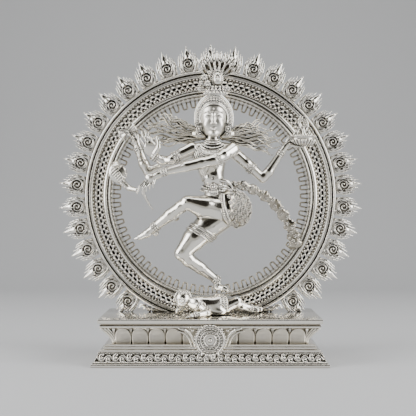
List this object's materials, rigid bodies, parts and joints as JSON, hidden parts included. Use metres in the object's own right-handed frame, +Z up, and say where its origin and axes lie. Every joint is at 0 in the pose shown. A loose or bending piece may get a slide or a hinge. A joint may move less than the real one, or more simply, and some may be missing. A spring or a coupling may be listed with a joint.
{
  "type": "nataraja statue",
  "caption": "Silver-plated brass statue of a four-armed dancer inside a pierced ring of flames, on a stepped lotus plinth.",
  "frame": {"origin": "centre of the underside of the plinth", "axes": "+Z up, -Y towards the front of the statue, +X to the viewer's right"},
  "size_m": [0.2886, 0.0984, 0.2973],
  "materials": {
    "silvered_brass": "polished silver plate over cast brass",
    "raw_brass": "plain brass, not plated",
    "steel": "zinc plated"
  },
  "bodies": {
    "root": {"bottom_plate": "raw_brass", "plinth_foot": "silvered_brass", "plinth_frieze": "silvered_brass", "plinth_step": "silvered_brass", "lotus_course": "silvered_brass", "lower_slab": "silvered_brass", "top_slab": "silvered_brass", "lotus_petals": "silvered_brass", "frieze_scrolls": "silvered_brass", "front_medallion": "silvered_brass", "mounting_studs": "steel", "mounting_washers": "steel", "mounting_nuts": "steel", "corner_posts": "raw_brass", "bottom_plate_screws": "steel", "ring_outer_rim": "silvered_brass", "ring_inner_rim": "silvered_brass", "ring_back_plate": "silvered_brass", "ring_lattice": "silvered_brass", "ring_outer_beads": "silvered_brass", "ring_inner_beads": "silvered_brass", "fringe_band": "silvered_brass", "fringe_loops": "silvered_brass", "ring_flames": "silvered_brass", "ring_foot_leaves": "silvered_brass", "ring_foot_block": "silvered_brass", "torso": "silvered_brass", "head": "silvered_brass", "ear_rings": "silvered_brass", "crown": "silvered_brass", "headband": "silvered_brass", "crest_boss": "silvered_brass", "crest_feathers": "silvered_brass", "front_left_arm": "silvered_brass", "front_right_arm": "silvered_brass", "rear_right_arm": "silvered_brass", "rear_left_arm": "silvered_brass", "raised_leg": "silvered_brass", "standing_leg": "silvered_brass", "hip_cloth": "silvered_brass", "waist_belt": "silvered_brass", "thigh_hem": "silvered_brass", "necklaces": "silvered_brass", "bangles": "silvered_brass", "armlets": "silvered_brass", "anklets": "silvered_brass", "chest_cord": "silvered_brass", "hourglass_drum": "silvered_brass", "fire_bowl": "silvered_brass", "bowl_fire": "silvered_brass", "cobra": "silvered_brass", "flying_sash": "silvered_brass", "hair_left": "silvered_brass", "hair_right": "silvered_brass", "dwarf_body": "silvered_brass", "dwarf_head": "silvered_brass"}
  },
  "joints": []
}
